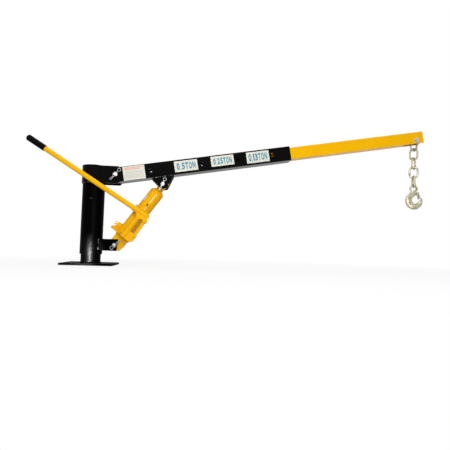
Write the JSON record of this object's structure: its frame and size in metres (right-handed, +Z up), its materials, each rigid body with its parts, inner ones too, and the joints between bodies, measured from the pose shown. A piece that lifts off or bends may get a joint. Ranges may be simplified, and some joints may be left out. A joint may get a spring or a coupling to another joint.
{
  "type": "hydraulic jib crane",
  "caption": "Fixed hydraulic jib crane: a swivelling mast on a square foot plate, a telescopic boom raised by a hand-pumped jack, and a chain with a latched hook.",
  "frame": {"origin": "on the mast axis, at the underside of the foot plate", "axes": "+Z up, +X along the boom from mast to hook, +Y away from the pump side"},
  "size_m": [1.6696, 0.2, 0.6216],
  "materials": {
    "black_paint": "semi-gloss",
    "yellow_paint": "gloss",
    "zinc": "zinc plated",
    "galvanised": "yellowish galvanised",
    "bright_steel": "ground",
    "brass": "satin",
    "rubber": "matt",
    "nylon": "matt"
  },
  "bodies": {
    "base": {"base_plate": "black_paint", "mast_post": "black_paint", "thrust_washer": "brass", "lower_bush": "nylon", "upper_bush": "nylon"},
    "mast": {"mast_sleeve": "black_paint", "sleeve_lid": "black_paint", "head_strap": "black_paint", "jack_bracket_near": "black_paint", "jack_bracket_far": "black_paint", "grease_nipple": "zinc", "boom_pivot_pin": "zinc", "boom_pivot_clip": "zinc", "jack_foot_pin": "zinc", "jack_foot_clip": "zinc"},
    "boom": {"outer_boom": "black_paint", "boom_pivot_bush": "bright_steel", "ram_bracket_near": "black_paint", "ram_bracket_far": "black_paint", "ram_pin": "zinc", "ram_pin_clip": "zinc"},
    "extension_pin": {"extension_pin": "zinc"},
    "jib": {"inner_boom": "yellow_paint", "boom_end_plug": "yellow_paint", "hook_bolt": "zinc", "hook_bolt_nut": "zinc"},
    "chain_link_1": {"chain_link_1": "galvanised"},
    "chain_link_2": {"chain_link_2": "galvanised"},
    "chain_link_3": {"chain_link_3": "galvanised"},
    "chain_link_4": {"chain_link_4": "galvanised"},
    "chain_link_5": {"chain_link_5": "galvanised"},
    "hook": {"hook": "galvanised", "latch_pin": "zinc"},
    "latch": {"hook_latch": "zinc"},
    "jack": {"jack_base": "yellow_paint", "reservoir_tube": "yellow_paint", "jack_cylinder": "bright_steel", "jack_top_nut": "yellow_paint", "filler_boss": "yellow_paint", "filler_plug": "rubber", "pump_cylinder": "yellow_paint", "link_foot_pin": "yellow_paint"},
    "release_valve": {"release_valve": "brass"},
    "pump_piston": {"pump_piston": "bright_steel"},
    "pump_link": {"pump_link": "yellow_paint"},
    "lever": {"handle_socket": "yellow_paint", "socket_screw": "zinc", "fulcrum_pin": "yellow_paint", "piston_pin": "yellow_paint"},
    "handle": {"handle_tube": "yellow_paint", "handle_grip": "rubber"},
    "ram": {"ram_rod": "bright_steel", "ram_head": "yellow_paint"}
  },
  "joints": [
    {"name": "mast_swivel", "type": "hinge", "parent": "base", "child": "mast", "pos_m": [0, 0, 0.2], "axis": [0, 0, 1], "continuous": true},
    {"name": "boom_lift", "type": "hinge", "parent": "mast", "child": "boom", "pos_m": [0.09, 0, 0.365], "axis": [0, -1, 0], "range_deg": [-1.5, 35]},
    {"name": "jack_tilt", "type": "hinge", "parent": "mast", "child": "jack", "pos_m": [0.096, 0, 0.082], "axis": [0, -1, 0], "range_deg": [-0.5, 11.4]},
    {"name": "ram_pivot", "type": "hinge", "parent": "boom", "child": "ram", "pos_m": [0.28, 0, 0.33555], "axis": [0, -1, 0], "range_deg": [-23.7, 1.1]},
    {"name": "boom_extend", "type": "slide", "parent": "boom", "child": "jib", "axis": [0.9848, 0, 0.1736], "range_m": [-0.513, 0]},
    {"name": "extension_pin_pull", "type": "slide", "parent": "boom", "child": "extension_pin", "axis": [0, -1, 0], "range_m": [0, 0.056]},
    {"name": "valve_turn", "type": "hinge", "parent": "jack", "child": "release_valve", "pos_m": [0.10025, 0, 0.16788], "axis": [-0.8093, 0, 0.5873], "range_deg": [0, 180]},
    {"name": "pump_link_swing", "type": "hinge", "parent": "jack", "child": "pump_link", "pos_m": [0.17544, -0.061, 0.11825], "axis": [0, 1, 0], "range_deg": [-1, 1]},
    {"name": "pump_lever", "type": "hinge", "parent": "pump_link", "child": "lever", "pos_m": [0.21589, -0.061, 0.1791], "axis": [0, 1, 0], "range_deg": [0, 32]},
    {"name": "piston_stroke", "type": "slide", "parent": "jack", "child": "pump_piston", "axis": [0.5873, 0, 0.8093], "range_m": [-0.0005, 0.017]},
    {"name": "handle_pull", "type": "slide", "parent": "lever", "child": "handle", "axis": [-0.8471, 0, 0.5314], "range_m": [0, 0.045]},
    {"name": "chain_swing_1", "type": "hinge", "parent": "jib", "child": "chain_link_1", "pos_m": [1.37627, 0, 0.57962], "axis": [0, 1, 0], "range_deg": [-35, 40]},
    {"name": "chain_swing_2", "type": "hinge", "parent": "chain_link_1", "child": "chain_link_2", "pos_m": [1.37627, 0, 0.53882], "axis": [0.9703, 0.2419, 0], "range_deg": [-35, 35]},
    {"name": "chain_swing_3", "type": "hinge", "parent": "chain_link_2", "child": "chain_link_3", "pos_m": [1.37627, 0, 0.49802], "axis": [0.6157, -0.788, 0], "range_deg": [-35, 35]},
    {"name": "chain_swing_4", "type": "hinge", "parent": "chain_link_3", "child": "chain_link_4", "pos_m": [1.37627, 0, 0.45722], "axis": [0.788, 0.6157, 0], "range_deg": [-35, 35]},
    {"name": "chain_swing_5", "type": "hinge", "parent": "chain_link_4", "child": "chain_link_5", "pos_m": [1.37627, 0, 0.41642], "axis": [0.866, -0.5, 0], "range_deg": [-35, 35]},
    {"name": "hook_swing", "type": "hinge", "parent": "chain_link_5", "child": "hook", "pos_m": [1.37627, 0, 0.37562], "axis": [0.2419, 0.9703, 0], "range_deg": [-40, 40]},
    {"name": "latch_turn", "type": "hinge", "parent": "hook", "child": "latch", "pos_m": [1.39377, 0, 0.34942], "axis": [0, 1, 0], "range_deg": [0, 35], "stiffness_Nm_per_rad": 0.03, "springref_deg": -20.05}
  ],
  "couplings": [
    {"joint": "jack_tilt", "follows": "boom_lift", "ratio": 0.3254},
    {"joint": "ram_pivot", "follows": "boom_lift", "ratio": -0.6746},
    {"joint": "pump_link_swing", "follows": "pump_lever", "ratio": -0.01847},
    {"joint": "piston_stroke", "follows": "pump_lever", "m_per_rad": 0.0295}
  ]
}
